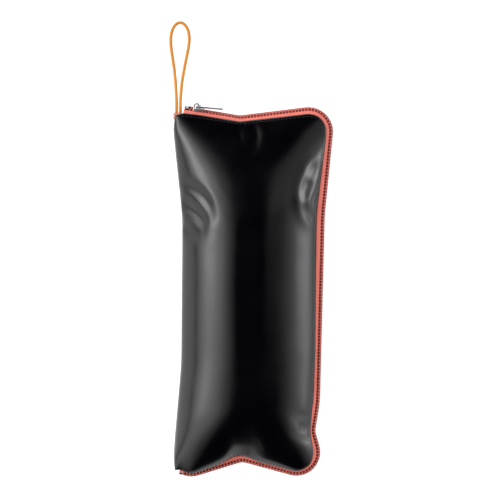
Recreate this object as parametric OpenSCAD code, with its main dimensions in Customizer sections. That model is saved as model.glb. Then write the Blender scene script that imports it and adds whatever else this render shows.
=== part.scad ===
// Training bumper: a padded pouch of coated fabric, lying on its back.
// One folded sheet makes the back panel, the spine on the left and the front panel.
// A zip runs round the three open sides, from the top of the spine to its bottom.
// +X is across the bumper, +Y along it towards the carry loop, +Z up from the floor.

/* [Cover] */
// Width over the zip
cover_w = 100; // [90:1:110]
// Length over the zip
cover_l = 230; // [215:1:245]
// Thickness of the filled bumper
cover_h = 45; // [42:1:50]
// Thickness of the coated fabric
sheet_t = 0.7; // [0.5:0.1:1]

/* [Zip] */
// Distance between the teeth of one row
tooth_pitch = 2; // [1.8:0.1:2.4]
// Widest gap between panel and teeth, where the tape shows
tape_band = 4.6; // [4:0.1:5]
// How far the teeth face upwards
zip_roll = 20; // [10:1:25]
// Length of the slider
slider_l = 8; // [7:0.5:9]
// Length of the pull tab from its hinge
pull_l = 16.8; // [12:0.2:18]

/* [Carry loop] */
// Diameter of the elastic cord
loop_d = 2; // [1.6:0.1:2.4]

/* [Quality] */
// Rings from the panel's edge to its crown
panel_rings = 6; // [4:1:8]
// Stations along the zip
zip_steps = 90; // [70:2:120]
// Stations along the spine
spine_steps = 26; // [16:2:40]

/* [Hidden] */
$fn = 32;

half_w = cover_w / 2;
half_l = cover_l / 2;
seam_z = cover_h * 20 / 45;
// The panels' edges stand this far above and below the teeth's centre line.
front_rise = 4.4;
back_drop = 5;
front_edge_z = seam_z + front_rise;
back_edge_z = seam_z - back_drop;

// Corners of the teeth's centre line: x and y in hundredths of the half width and length, and
// the corner's radius in mm. Filling the pouch pulls each side inwards between its corners.
zip_corners = [
    [-86, 99.5, 0], [-16, 94.3, 10], [98.5, 100.5, 13.5], [85, 42, 120], [79, -59, 80], [73, -74.5, 8],
    [91, -102, 13], [-14, -89.5, 9], [-77, -98, 12], [-92, -96, 0]
];
// Share of the way along the zip, and there the share of the widest gap that the panel leaves.
gap_shares = [
    [0, 0.85], [0.1, 0.75], [0.2, 0.85], [0.28, 0.8], [0.37, 1], [0.46, 0.95], [0.6, 0.7], [0.69, 0.8],
    [0.72, 0.55], [0.76, 0.9], [0.81, 0.55], [0.87, 0.5], [0.91, 0.9], [0.94, 0.45], [1, 0.3]
];
// Corners of the spine, from its bottom end to its top end, in the same way.
spine_corners = [
    [-97.5, -95.4, 0], [-99, -93.5, 2], [-88, -38, 150], [-86.5, 42, 100], [-99.5, 93.5, 2], [-97, 95.6, 0]
];
// The crown's ridge line, which every part of a panel rises to, and its share of the length.
ridge_x = -3;
ridge_share = 0.58;
// The panel's arc: its radius as a share of the distance from edge to ridge.
arc_share = 1.185;
// Where a panel's crown is level: the front's narrow top and the back's resting face.
front_crown = 0.88;
back_crown = 0.5;

// Teeth, in the zip's own directions: along it, out of its face, and across it to the front.
tooth_along = 0.8;
tooth_out = 2.4;
tooth_head = 0.75;
tooth_leg = 2.1;
tooth_reach = tooth_leg + tooth_head;
first_tooth = 3.6;
start_len = 33;
zip_end = 3.4;
tape_t = 0.5;
// How far each tape runs straight out from the centre line: on the stretch that the slider travels,
// and on the rest.
travel_straight = [5, 4.3];
rest_straight = [3.6, 3.2];

slider_at = 9;
// Half widths of the slider at its closed tail and at its crown, where the rows part.
tail_half_w = 3;
crown_half_w = 3.95;
plate_t = 0.9;
plate_in = 1.45;
flange_slot = 0.45;
flange_t = 0.6;
wedge_half = 0.3;
wedge_l = 1.8;
// The slider narrows from this far before its middle to this far past it.
taper = [0.8, 1.6];
// The rows of teeth turn aside from this far before its middle.
parting = 1.4;
plate_r = 0.8;
crown_round = 1.2;
bow_r = 2.1;
bow_bore = 1.2;
bow_w = 1.6;
hinge_x = -1.5;
hinge_y = plate_in + plate_t + 0.65;
pull_t = 1;
pull_bar_r = 0.5;
pull_half_w = 2.8;
pull_neck = 2.2;
pull_end_r = 1.6;
// How far the tab stands off the slider's plate at rest.
pull_rest = 6;

anchor = [-46.7, 109.6, 18.5];
anchor_size = [6, 4.4, 2.8];
// Route of the elastic loop's centre line: out of the corner, down to the floor, round and back.
loop_route = [
    [-47.8, 111.8, 18.5], [-47.8, 115, 17.9], [-47.8, 119, 16], [-48, 123, 13.4], [-48.2, 127, 10.4],
    [-48.5, 131, 7.4], [-48.9, 135, 4.8], [-49.3, 139, 2.8], [-49.9, 143, 1.6], [-50.6, 147.5, 1],
    [-51.2, 152, 1], [-51.5, 156.5, 1], [-51.2, 161, 1], [-49.6, 165.5, 1], [-46.8, 168, 1],
    [-43.6, 167.5, 1], [-41, 164, 1], [-40, 159, 1], [-40.3, 154, 1], [-41.2, 149, 1.3],
    [-42.2, 144, 2], [-43.1, 139, 3.4], [-43.8, 135, 5.2], [-44.4, 131, 7.6], [-44.8, 127, 10.4],
    [-45.1, 123, 13.4], [-45.3, 119, 16],
    [-45.4, 115, 17.9], [-45.4, 111.8, 18.5]
];

loop_sides = 8;

// Plain geometry

function mix(a, b, t) = a + (b - a) * t;
function unit(v) = v / norm(v);
function turned(v, a) = [v.x * cos(a) - v.y * sin(a), v.x * sin(a) + v.y * cos(a)];

// The points of one rounded corner at q, on the way from p to r.
function corner(p, q, r, radius) =
    radius == 0 ? [q] :
    let (
        a = unit(p - q),
        b = unit(r - q),
        half = acos(a * b) / 2,
        centre = q + unit(a + b) * radius / sin(half),
        from = q + a * radius / tan(half) - centre,
        sweep = (180 - 2 * half) * sign(cross(q - p, r - q)),
        steps = max(2, ceil(abs(sweep) / 8))
    )
    [for (i = [0:steps]) centre + turned(from, sweep * i / steps)];

function place(c) = [c[0] * half_w / 100, c[1] * half_l / 100];
function rounded(c) = [for (i = [0:len(c) - 1])
    each corner(place(c[max(0, i - 1)]), place(c[i]), place(c[min(len(c) - 1, i + 1)]), c[i][2])];

// The distance along a line of points to each of them.
function distances(p) = [for (i = 0, s = 0; i < len(p);
    i = i + 1, s = i < len(p) ? s + norm(p[i] - p[i - 1]) : s) s];
function column(line, dist, k) = [for (i = [0:len(line) - 1]) [dist[i], line[i][k]]];

zip_line = rounded(zip_corners);
zip_dist = distances(zip_line);
zip_len = zip_dist[len(zip_dist) - 1];
zip_x = column(zip_line, zip_dist, 0);
zip_y = column(zip_line, zip_dist, 1);
spine_line = rounded(spine_corners);
spine_dist = distances(spine_line);
spine_len = spine_dist[len(spine_dist) - 1];
spine_x = column(spine_line, spine_dist, 0);
spine_y = column(spine_line, spine_dist, 1);

function on_zip(s) = [lookup(s, zip_x), lookup(s, zip_y)];
function on_spine(s) = [lookup(s, spine_x), lookup(s, spine_y)];
function heading(s) = let (d = on_zip(s + 0.4) - on_zip(s - 0.4)) atan2(d.y, d.x);
function outward(s) = let (a = heading(s)) [-sin(a), cos(a)];

// A point of the zip's own directions at s: out of its face, then across to the front.
function zip_point(s, out, across) =
    let (p = on_zip(s), n = outward(s), flat = out * cos(zip_roll) - across * sin(zip_roll))
    [p.x + n.x * flat, p.y + n.y * flat, seam_z + out * sin(zip_roll) + across * cos(zip_roll)];
// How far a row stands off the centre line at s: before the slider's wedge the zip is open.
open_by = tooth_head + wedge_half + 0.1;
function opened(s) = lookup(s - slider_at, [[-parting, open_by], [taper[1], 0]]);
// How far the tape's edge stands off the teeth: more in the slider, where the rows turn aside.
function tape_gap(s) = lookup(s, [[start_len / 2, 0.35], [start_len, 0.05]]);
function panel_gap(s) = tape_band * lookup(s / zip_len, gap_shares);
function panel_point(s, inset, z) =
    let (p = on_zip(s) - outward(s) * (panel_gap(s) + inset)) [p.x, p.y, z];

// The closed edge of both panels: along the zip, then back up the spine.
edge_loop = concat(
    [for (i = [0:zip_steps]) let (p = panel_point(zip_len * i / zip_steps, 0, 0)) [p.x, p.y]],
    [for (i = [0:spine_steps]) on_spine(spine_len * i / spine_steps)]
);

function ridge(p) = [ridge_x, p.y * ridge_share];
function rise(t) = (sqrt(pow(arc_share, 2) - pow(1 - t, 2)) - sqrt(pow(arc_share, 2) - 1))
    / (arc_share - sqrt(pow(arc_share, 2) - 1));

// One closed ring of a panel, t of the way from the edge to the ridge, through every nth station.
function ring(t, z, inset, nth) = [for (i = [0:nth:len(edge_loop) - 1])
    let (p = edge_loop[i], c = ridge(p), q = mix(p + unit(c - p) * inset, c, t)) [q.x, q.y, z]];
// The rings from the edge to the level crown, whose height is top.
function dome(edge_z, top, crown, inset, nth = 1) = [for (i = [0:panel_rings])
    let (share = pow(i / panel_rings, 1.25))
    ring(share * crown, mix(edge_z, top, rise(share) / rise(1)), inset, nth)];
function reversed(list) = [for (i = [len(list) - 1:-1:0]) list[i]];

// Solids

// A closed solid through rings with the same number of points.
module skin(rings) {
    n = len(rings[0]);
    last = (len(rings) - 1) * n;
    sides = [for (k = [0:len(rings) - 2]) for (i = [0:n - 1])
        let (j = (i + 1) % n, a = k * n + i, b = k * n + j, c = a + n, d = b + n)
        each [[a, b, d], [a, d, c]]];
    polyhedron(
        points = [for (r = rings) each r],
        faces = concat(sides, [[for (i = [n - 1:-1:0]) i], [for (i = [0:n - 1]) last + i]]),
        convexity = 6
    );
}

// A strip of tape: from the teeth straight across, then over to the panel's edge.
module tape(side, s_from, s_to) {
    steps = max(2, round((s_to - s_from) / 4));
    row = side > 0 ? 1 : 0;
    edge_z = side > 0 ? front_edge_z : back_edge_z;
    half = tape_t / 2;
    clear = 0.05;
    under = 0.9;
    rings = [for (i = [0:steps])
        let (
            s = mix(s_from, s_to, i / steps),
            straight = lookup(s, [[start_len, travel_straight[row]], [start_len + 8, rest_straight[row]]]),
            inner = tooth_leg + tape_gap(s) + opened(s)
        ) [
            zip_point(s, half, side * inner),
            zip_point(s, half, side * (straight + half)),
            panel_point(s, under, edge_z - side * clear),
            panel_point(s, under, edge_z - side * (clear + tape_t)),
            zip_point(s, -half, side * (straight - half)),
            zip_point(s, -half, side * inner)
        ]];
    color([0.93, 0.42, 0.36]) skin(side > 0 ? reversed(rings) : rings);
}

// Puts children in the zip's own directions at s: x along it, y out of its face, z across.
module at_zip(s) {
    p = on_zip(s);
    translate([p.x, p.y, seam_z]) rotate([0, 0, heading(s)]) rotate([zip_roll, 0, 0]) children();
}

// One row's teeth between two distances along the zip. The rows are half a pitch apart.
module teeth(side, s_from, s_to) {
    row_start = side > 0 ? first_tooth : first_tooth + tooth_pitch / 2;
    first = max(0, ceil((s_from - row_start) / tooth_pitch));
    last = ceil((s_to - row_start) / tooth_pitch) - 1;
    color([0.9, 0.36, 0.31])
        for (i = [first:last])
            at_zip(row_start + i * tooth_pitch)
                translate([0, 0, side * (tooth_leg - tooth_reach / 2 + opened(row_start + i * tooth_pitch))])
                    cube([tooth_along, tooth_out, tooth_reach], center = true);
}

// Half of the slider's outline, from its crown to its tail, out by more than its half widths.
function slider_side(out) = [
    [-slider_l / 2 + crown_round, crown_half_w + out],
    [-taper[0], crown_half_w + out],
    [taper[1], tail_half_w + out],
    [slider_l / 2 - plate_r, tail_half_w + out]
];

module slider_plate(from_y) {
    edge = slider_side(-plate_r);
    translate([0, from_y + plate_t, 0]) rotate([90, 0, 0]) linear_extrude(plate_t)
        hull()
            for (p = edge)
                for (side = [-1, 1])
                    translate([p.x, side * p.y]) circle(plate_r);
}

module slider_flange(side, from_y) {
    height = plate_in - flange_slot;
    translate([0, from_y + height, 0]) rotate([90, 0, 0]) linear_extrude(height)
        polygon([for (p = concat(slider_side(0), reversed(slider_side(-flange_t)))) [p.x, -side * p.y]]);
}

// Shapes that the nodes are made of

module back_panel() {
    outer = reversed(dome(back_edge_z, 0, back_crown, 0));
    inner = dome(back_edge_z, sheet_t, back_crown, sheet_t);
    color([0.05, 0.05, 0.06]) skin(concat(outer, inner));
}

module front_panel() {
    outer = reversed(dome(front_edge_z, cover_h, front_crown, 0));
    inner = dome(front_edge_z, cover_h - sheet_t, front_crown, sheet_t);
    color([0.05, 0.05, 0.06]) skin(reversed(concat(outer, inner)));
}

// The strip of the sheet that bends round between the two panels' edges.
module spine_fold() {
    bulge = 0.8;
    end_gap = 5;
    rings = [for (i = [0:spine_steps])
        let (p = on_spine(mix(end_gap, spine_len - end_gap, i / spine_steps))) [
            [p.x, p.y, back_edge_z],
            [p.x - bulge, p.y, seam_z - back_drop / 2],
            [p.x - bulge, p.y, seam_z + front_rise / 2],
            [p.x, p.y, front_edge_z],
            [p.x + sheet_t, p.y, front_edge_z],
            [p.x + sheet_t - bulge, p.y, seam_z + front_rise / 2],
            [p.x + sheet_t - bulge, p.y, seam_z - back_drop / 2],
            [p.x + sheet_t, p.y, back_edge_z]
        ]];
    color([0.05, 0.05, 0.06]) skin(reversed(rings));
}

insert_inset = 2.6;
insert_gap = 0.4;
sleeve_t = 0.5;
// The rings of the insert, gap inside the panels all round.
function insert_rings(gap) = concat(
    reversed(dome(back_edge_z, sheet_t + gap, back_crown, insert_inset + gap, 2)),
    dome(front_edge_z, cover_h - sheet_t - gap, front_crown, insert_inset + gap, 2)
);

module insert_core() {
    color([0.85, 0.83, 0.78]) skin(insert_rings(insert_gap + sleeve_t + 0.2));
}

module insert_sleeve() {
    color([0.9, 0.89, 0.86]) difference() {
        skin(insert_rings(insert_gap));
        skin(insert_rings(insert_gap + sleeve_t));
    }
}

module back_zip_tape() tape(-1, 0, zip_len);
module front_tape_start() tape(1, 0, slider_at + slider_l / 2 + 1);
module front_zip_tape() tape(1, slider_at + slider_l / 2 + 1.1, zip_len);

module back_teeth_start() teeth(-1, 0, start_len);
module front_teeth_start() teeth(1, 0, start_len);
module back_zip_teeth() teeth(-1, start_len, zip_len - zip_end);
module front_zip_teeth() teeth(1, start_len, zip_len - zip_end);

// A clip on one tape's edge, which keeps the slider from running off.
module top_stop(side) {
    stop = [1.4, 2.6, 1.3];
    stop_at = 1.9;
    color([0.78, 0.79, 0.8]) at_zip(stop_at)
        translate([0, 0, side * (tooth_leg - stop.z / 2)]) cube(stop, center = true);
}

// A box across both rows at the zip's closed end.
module bottom_stop() {
    stop = [2.6, 2.8, 2 * tooth_leg];
    from_end = 1.8;
    color([0.78, 0.79, 0.8]) at_zip(zip_len - from_end) cube(stop, center = true);
}

// Two plates joined by a wedge between the rows, with flanges that hold them, and a bow.
module slider_body() {
    wedge_from = 0.7 - slider_l / 2;
    color([0.8, 0.81, 0.83]) at_zip(slider_at) {
        slider_plate(plate_in);
        slider_plate(-plate_in - plate_t);
        translate([wedge_from, -plate_in, -wedge_half]) cube([wedge_l, 2 * plate_in, 2 * wedge_half]);
        for (side = [-1, 1])
            for (from_y = [flange_slot, -plate_in])
                slider_flange(side, from_y);
        translate([hinge_x, hinge_y, 0]) intersection() {
            difference() {
                cylinder(r = bow_r, h = bow_w, center = true);
                cylinder(r = bow_bore, h = bow_w + 1, center = true);
            }
            translate([-bow_r - 1, plate_in + plate_t - hinge_y, -bow_w])
                cube([2 * bow_r + 2, 2 * bow_r + 2, 2 * bow_w]);
        }
    }
}

// A tab with a window, whose round end bar passes under the slider's bow.
module pull_tab() {
    window_to = bow_r + 0.5;
    window_half_w = bow_w / 2 + 0.4;
    color([0.85, 0.86, 0.88]) at_zip(slider_at) translate([hinge_x, hinge_y, 0]) rotate([0, 0, pull_rest]) {
        cylinder(r = pull_bar_r, h = 2 * pull_neck, center = true);
        rotate([90, 0, 0]) translate([0, 0, -pull_t / 2]) linear_extrude(pull_t)
            difference() {
                union() {
                    translate([0, -pull_neck]) square([window_to + 1, 2 * pull_neck]);
                    hull() {
                        translate([window_to, -pull_neck]) square([1, 2 * pull_neck]);
                        for (side = [-1, 1])
                            translate([pull_l - pull_end_r, side * (pull_half_w - pull_end_r)])
                                circle(pull_end_r);
                    }
                }
                translate([-0.01, -window_half_w]) square([window_to + 0.01, 2 * window_half_w]);
            }
    }
}

// The folded end of the tape in the corner, which the loop's two ends are sewn into.
module loop_anchor() {
    color([0.93, 0.42, 0.36]) translate(anchor) cube(anchor_size, center = true);
}

// Rows of thread across the anchor.
module loop_bar_tack() {
    rows = 7;
    pitch = 0.8;
    thread_r = 0.2;
    thread_l = 2.6;
    thread_z = anchor.z + anchor_size.z / 2 + thread_r;
    color([0.96, 0.78, 0.7])
        for (i = [0:rows - 1])
            translate([anchor.x + (i - (rows - 1) / 2) * pitch, anchor.y, thread_z])
                rotate([90, 0, 0]) cylinder(r = thread_r, h = thread_l, center = true);
}

module carry_loop() {
    n = len(loop_route);
    rings = [for (i = [0:n - 1])
        let (
            ahead = unit(loop_route[min(n - 1, i + 1)] - loop_route[max(0, i - 1)]),
            t = i == 0 ? [0, 1, 0] : i == n - 1 ? [0, -1, 0] : ahead,
            side = unit(cross(t, [0, 0, 1])),
            up = cross(side, t)
        )
        [for (k = [0:loop_sides - 1]) loop_route[i]
            + (side * cos(360 * k / loop_sides) + up * sin(360 * k / loop_sides)) * loop_d / 2]];
    color([0.93, 0.55, 0.1]) skin(rings);
}

back_panel();
front_panel();
spine_fold();
insert_core();
insert_sleeve();
back_zip_tape();
front_zip_tape();
front_tape_start();
back_zip_teeth();
front_zip_teeth();
back_teeth_start();
front_teeth_start();
top_stop(-1);  // back_top_stop
top_stop(1);  // front_top_stop
bottom_stop();
slider_body();
pull_tab();
loop_anchor();
loop_bar_tack();
carry_loop();
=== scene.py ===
"""Looks of the training bumper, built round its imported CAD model.

The cover is one sheet that runs from the front panel round the spine to the back panel. It is
settled here as an inflated cloth, held along the zip. Everything is in metres, in the CAD frame:
+X from the folded side to the long zipped side, +Y towards the carry loop, +Z up.
"""

import math

import bpy
import numpy as np
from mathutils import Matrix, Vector


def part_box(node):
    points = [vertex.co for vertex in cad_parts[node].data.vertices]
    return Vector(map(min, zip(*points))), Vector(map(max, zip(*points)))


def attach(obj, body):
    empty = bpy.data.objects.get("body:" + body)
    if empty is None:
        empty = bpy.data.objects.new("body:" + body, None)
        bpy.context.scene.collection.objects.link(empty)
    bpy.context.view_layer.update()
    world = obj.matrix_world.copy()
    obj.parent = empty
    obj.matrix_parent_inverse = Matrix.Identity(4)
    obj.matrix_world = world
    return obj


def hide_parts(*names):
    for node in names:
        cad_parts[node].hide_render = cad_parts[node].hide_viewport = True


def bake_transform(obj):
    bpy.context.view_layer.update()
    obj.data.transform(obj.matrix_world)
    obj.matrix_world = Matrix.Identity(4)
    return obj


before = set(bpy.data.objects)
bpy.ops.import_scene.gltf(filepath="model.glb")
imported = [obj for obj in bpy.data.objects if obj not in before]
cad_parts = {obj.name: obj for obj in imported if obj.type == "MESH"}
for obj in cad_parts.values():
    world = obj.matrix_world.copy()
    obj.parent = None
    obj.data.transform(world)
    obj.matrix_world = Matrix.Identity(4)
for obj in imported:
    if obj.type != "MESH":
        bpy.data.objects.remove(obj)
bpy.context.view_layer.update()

MM = 0.001

# ---------------------------------------------------------------- camera

SEAM_Z = 20 * MM
VIEW_CENTRE = (-2.17 * MM, 26.66 * MM)
VIEW_WIDTH = 310 * MM
CAMERA_ABOVE = 5.0
SENSOR = 36


def make_camera():
    data = bpy.data.cameras.new("camera")
    data.sensor_width = SENSOR
    data.lens = SENSOR * CAMERA_ABOVE / VIEW_WIDTH
    data.clip_start, data.clip_end = 0.01, 50
    camera = bpy.data.objects.new("camera", data)
    camera.location = (*VIEW_CENTRE, SEAM_Z + CAMERA_ABOVE)
    bpy.context.collection.objects.link(camera)
    bpy.context.scene.camera = camera


make_camera()

# ---------------------------------------------------------------- plain geometry


def unit(v):
    return v / np.maximum(np.linalg.norm(v, axis=-1, keepdims=True), 1e-12)


def distances(points):
    return np.concatenate([[0], np.cumsum(np.linalg.norm(np.diff(points, axis=0), axis=1))])


# Samples of a spline between each two of its points.
SPLINE_STEPS = 12


def spline(points):
    """A smooth line through the points, with SPLINE_STEPS samples between each two."""
    p = np.vstack([2 * points[0] - points[1], points, 2 * points[-1] - points[-2]])
    t = np.linspace(0, 1, SPLINE_STEPS, endpoint=False)[None, :, None]
    a, b, c, d = (p[k:len(p) - 3 + k][:, None, :] for k in range(4))
    line = 0.5 * (2 * b + (c - a) * t + (2 * a - 5 * b + 4 * c - d) * t**2 + (3 * b - 3 * c + d - a) * t**3)
    return np.vstack([line.reshape(-1, points.shape[1]), points[-1:]])


def resample(points, count):
    """count points evenly spaced along a line of points."""
    s = distances(points)
    at = np.linspace(0, s[-1], count)
    return np.stack([np.interp(at, s, points[:, k]) for k in range(points.shape[1])], axis=1)


def new_object(name, points, faces, uvs=None):
    """A smooth-shaded mesh object. uvs has one pair for each point."""
    mesh = bpy.data.meshes.new(name)
    mesh.from_pydata([tuple(map(float, p)) for p in points], [], [tuple(map(int, f)) for f in faces])
    if uvs is not None:
        layer = mesh.uv_layers.new(name="flat")
        corner = np.empty(len(mesh.loops), int)
        mesh.loops.foreach_get("vertex_index", corner)
        layer.data.foreach_set("uv", np.asarray(uvs, np.float32)[corner].ravel())
    mesh.validate()
    mesh.shade_smooth()
    obj = bpy.data.objects.new(name, mesh)
    bpy.context.collection.objects.link(obj)
    return obj


def grid_faces(rows, columns, closed=False, flip=False):
    """Quads over rows x columns points, the last column joined to the first where closed."""
    r, c = np.meshgrid(np.arange(rows - 1), np.arange(columns if closed else columns - 1), indexing="ij")
    n = (c + 1) % columns
    quads = np.stack([r * columns + c, r * columns + n, (r + 1) * columns + n, (r + 1) * columns + c], -1)
    quads = quads.reshape(-1, 4)
    return quads[:, ::-1] if flip else quads


def thickened(obj, depth, offset=-1.0):
    """obj with its sheet given a thickness, as a final mesh: behind the sheet, or centred on it
    where offset is 0."""
    solid = obj.modifiers.new("thickness", "SOLIDIFY")
    solid.thickness, solid.offset, solid.use_even_offset = depth, offset, False
    graph = bpy.context.evaluated_depsgraph_get()
    graph.update()
    mesh = bpy.data.meshes.new_from_object(obj.evaluated_get(graph), depsgraph=graph)
    obj.modifiers.clear()
    old, obj.data = obj.data, mesh
    bpy.data.meshes.remove(old)
    mesh.name = obj.name
    return obj


# ---------------------------------------------------------------- what the CAD says


# CAD points that round to the same place on a grid of this step are one point.
WELD = 0.002 * MM


def merged(node):
    """A CAD node's points without repeats, and its faces as indices into them."""
    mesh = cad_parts[node].data
    index, points, faces = {}, [], []
    where = []
    for v in mesh.vertices:
        key = tuple(round(c / WELD) for c in v.co)
        if key not in index:
            index[key] = len(points)
            points.append(tuple(v.co))
        where.append(index[key])
    for f in mesh.polygons:
        faces.append([where[i] for i in f.vertices])
    return np.array(points), faces


def panel_edge():
    """The closed edge of the front panel, clockwise from above: its lowest ring's outer line."""
    points, faces = merged("front_panel")
    low = points[:, 2].min() + 0.01 * MM
    rim = [f for f in faces if all(points[i][2] < low for i in f)]
    once = {}
    for f in rim:
        for a, b in zip(f, f[1:] + f[:1]):
            if (b, a) in once:
                del once[b, a]
            else:
                once[a, b] = True
    after = {a: b for a, b in once}
    loops = []
    while after:
        first = next(iter(after))
        loop, at = [first], after.pop(first)
        while at != first:
            loop.append(at)
            at = after.pop(at)
        loops.append(points[loop][:, :2])
    loop = max(loops, key=lambda p: np.ptp(p[:, 0]))
    x, y = loop[:, 0], loop[:, 1]
    if np.sum(x * np.roll(y, -1) - np.roll(x, -1) * y) > 0:
        loop = loop[::-1]
    return loop


def tooth_centres(*nodes):
    """The middle of every tooth in the nodes, in order from the slider's end."""
    found = []
    for node in nodes:
        points, faces = merged(node)
        group = list(range(len(points)))

        def root(i):
            while group[i] != i:
                group[i] = group[group[i]]
                i = group[i]
            return i

        for f in faces:
            for i in f[1:]:
                group[root(i)] = root(f[0])
        roots = np.array([root(i) for i in range(len(points))])
        for r in np.unique(roots):
            found.append(points[roots == r].mean(axis=0))
    found = np.array(found)
    return found[np.argsort(-np.arctan2(found[:, 1], found[:, 0]))]


# Along the zip: from tooth to tooth, to the front row's first one, and on from its last one.
PITCH = 2 * MM
FIRST_TOOTH = 3.6 * MM
AFTER_LAST = 4.8 * MM

front_row = tooth_centres("front_zip_teeth", "front_teeth_start")
back_row = tooth_centres("back_zip_teeth", "back_teeth_start")
ZIP_LEN = FIRST_TOOTH + (len(front_row) - 1) * PITCH + AFTER_LAST


def on_row(row, first, s):
    """Points of a row of teeth at distances s along the zip, straight on past its ends."""
    at = first + PITCH * np.arange(len(row))
    s = np.atleast_1d(np.asarray(s, float))
    p = np.stack([np.interp(s, at, row[:, k]) for k in range(3)], axis=1)
    before, after = s < at[0], s > at[-1]
    lead = unit(row[2] - row[0])
    tail = unit(row[-1] - row[-3])
    p[before] = row[0] + (s[before] - at[0])[:, None] * lead
    p[after] = row[-1] + (s[after] - at[-1])[:, None] * tail
    return p


def rows_at(s):
    """Points of the front row and of the back row at distances s along the zip."""
    return on_row(front_row, FIRST_TOOTH, s), on_row(back_row, FIRST_TOOTH + PITCH / 2, s)


def zip_middle(s):
    front, back = rows_at(s)
    return (front + back) / 2


def zip_frame(s):
    """Centre line, the directions along, out and across to the front, and the rows' half distance."""
    s = np.atleast_1d(np.asarray(s, float))
    f, b = rows_at(s)
    along = unit(zip_middle(s + PITCH) - zip_middle(s - PITCH))
    across = unit(f - b)
    across = unit(across - along * np.sum(along * across, axis=1, keepdims=True))
    out = np.cross(across, along)
    return (f + b) / 2, along, out, across, np.linalg.norm(f - b, axis=1) / 2


edge = panel_edge()
turn = []
for k in range(len(edge)):
    a, b = edge[k] - edge[k - 1], edge[(k + 1) % len(edge)] - edge[k]
    turn.append(abs(math.atan2(a[0] * b[1] - a[1] * b[0], a @ b)))
turn = np.array(turn)
top_left = int(np.argmax(np.where((edge[:, 0] < 0) & (edge[:, 1] > 0), turn, 0)))
edge = np.roll(edge, -top_left, axis=0)
turn = np.roll(turn, -top_left)
bottom_left = int(np.argmax(np.where((edge[:, 0] < 0) & (edge[:, 1] < 0), turn, 0)))
# The panels' edge beside the zip, station by station, and the spine from its bottom to its top.
zip_side = edge[1:bottom_left]
spine_side = np.vstack([edge[bottom_left:], edge[:1]])

FRONT_EDGE_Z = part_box("front_panel")[0].z
BACK_EDGE_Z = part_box("back_panel")[1].z
CAP_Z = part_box("front_panel")[1].z

# ---------------------------------------------------------------- the cover, settled as cloth

SHEET_T = 0.7 * MM
EDGE_LIFT = 0.55 * MM
# A panel's round cross-section, and how far from each end of the bumper it is full.
ARC_SHARE = 1.12
TOP_END, BOTTOM_END, BACK_END = 60 * MM, 34 * MM, 24 * MM
# How far the spine stands out. That fades over 1 / SPINE_FADE of its length at each end.
SPINE_BULGE, SPINE_FADE = 1.0 * MM, 8
# The back panel comes down to the floor over 1 / BACK_DROP of its half width.
BACK_DROP = 2.2
# How far the panels' edges reach out over the tapes, and over what length that fades at the ends.
OVERHANG, OVERHANG_FADE = 1.3 * MM, 15 * MM
# How far under the CAD's top the front panel's ridge lies before it is filled.
CROWN_UNDER = 0.9 * MM
# How far the front panel hangs out over its own foot, and over what length.
FOOT_BULGE, FOOT_BULGE_OVER = 2.4 * MM, 16 * MM
# Its share of that at places across the bumper, in mm.
FOOT_SHARES = [(-46, 0), (-38, 1), (-18, 1), (-9, 0), (-4, 0), (6, 0.9), (30, 0.9), (38, 0)]
# Brings the peak of the bulge's curve to about 1.
FOOT_PEAK = 1.7
# Cells of the coarse grid: across one panel, across the spine, and along the bumper.
COARSE = (25, 3, 55)
# Folds in the filled panels, in mm: half width, depth (below 0 for a ridge), and points on each.
FRONT_FOLDS = [
    (3.0, 2.4, (-46, 62.5), (-36, 56), (-27, 48)),
    (2.8, 2.0, (-45, 51), (-39, 45.5), (-33, 39)),
    (3.0, -1.4, (39, 82), (34.5, 71), (32, 61), (32.5, 52), (37, 43)),
    (3.0, 2.6, (43, 63), (40, 56), (41, 48)),
    (2.8, 1.3, (-4, 107), (-4, 99), (-4.2, 87)),
    (6.0, 0.8, (-6.5, -104), (-6.5, -98), (-6.5, -90)),
    (2.4, 0.8, (27, -78), (38, -82.5)),
    (2.4, 0.8, (27, -87), (38, -87.5))
]
BACK_FOLDS = [
    (3.4, 1.3, (-44, 66), (-37, 60), (-28, 54)),
    (3.2, 1.3, (-43, 54), (-36, 46), (-30, 38)),
    (3.2, 1.4, (39, 58), (32, 53), (25, 47)),
    (3.0, 1.1, (39, 46), (33, 40), (26, 36)),
    (2.8, 1.1, (-4, 104), (-4, 96), (-5, 84)),
    (4, 1.5, (-6.5, -101), (-6.5, -94), (-6, -84))
]
# Points that a fold's line is measured at, and where its depth starts on half a wave and how far
# along the half wave it runs.
FOLD_POINTS = 24
FOLD_START, FOLD_RUN = 0.12, 0.8
# Folds fade over 1 / END_FADE of the grid's rows at each end, and over 1 / SIDE_FADE of a panel's
# columns beside the zip.
END_FADE, SIDE_FADE = 36, 22


def folds(x, listed):
    """How deep each point lies in the folds listed."""
    depth = np.zeros(x.shape[:2])
    for half, fall, *corners in listed:
        line = resample(spline(np.array(corners, float) * MM), FOLD_POINTS)
        away = np.linalg.norm(x[..., None, :2] - line, axis=-1)
        nearest = away.argmin(axis=-1)
        fade = np.sin(np.pi * (FOLD_START + FOLD_RUN * nearest / (FOLD_POINTS - 1)))
        depth += fall * MM * fade * np.exp(-(away.min(axis=-1) / (half * MM))**2)
    return depth


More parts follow.
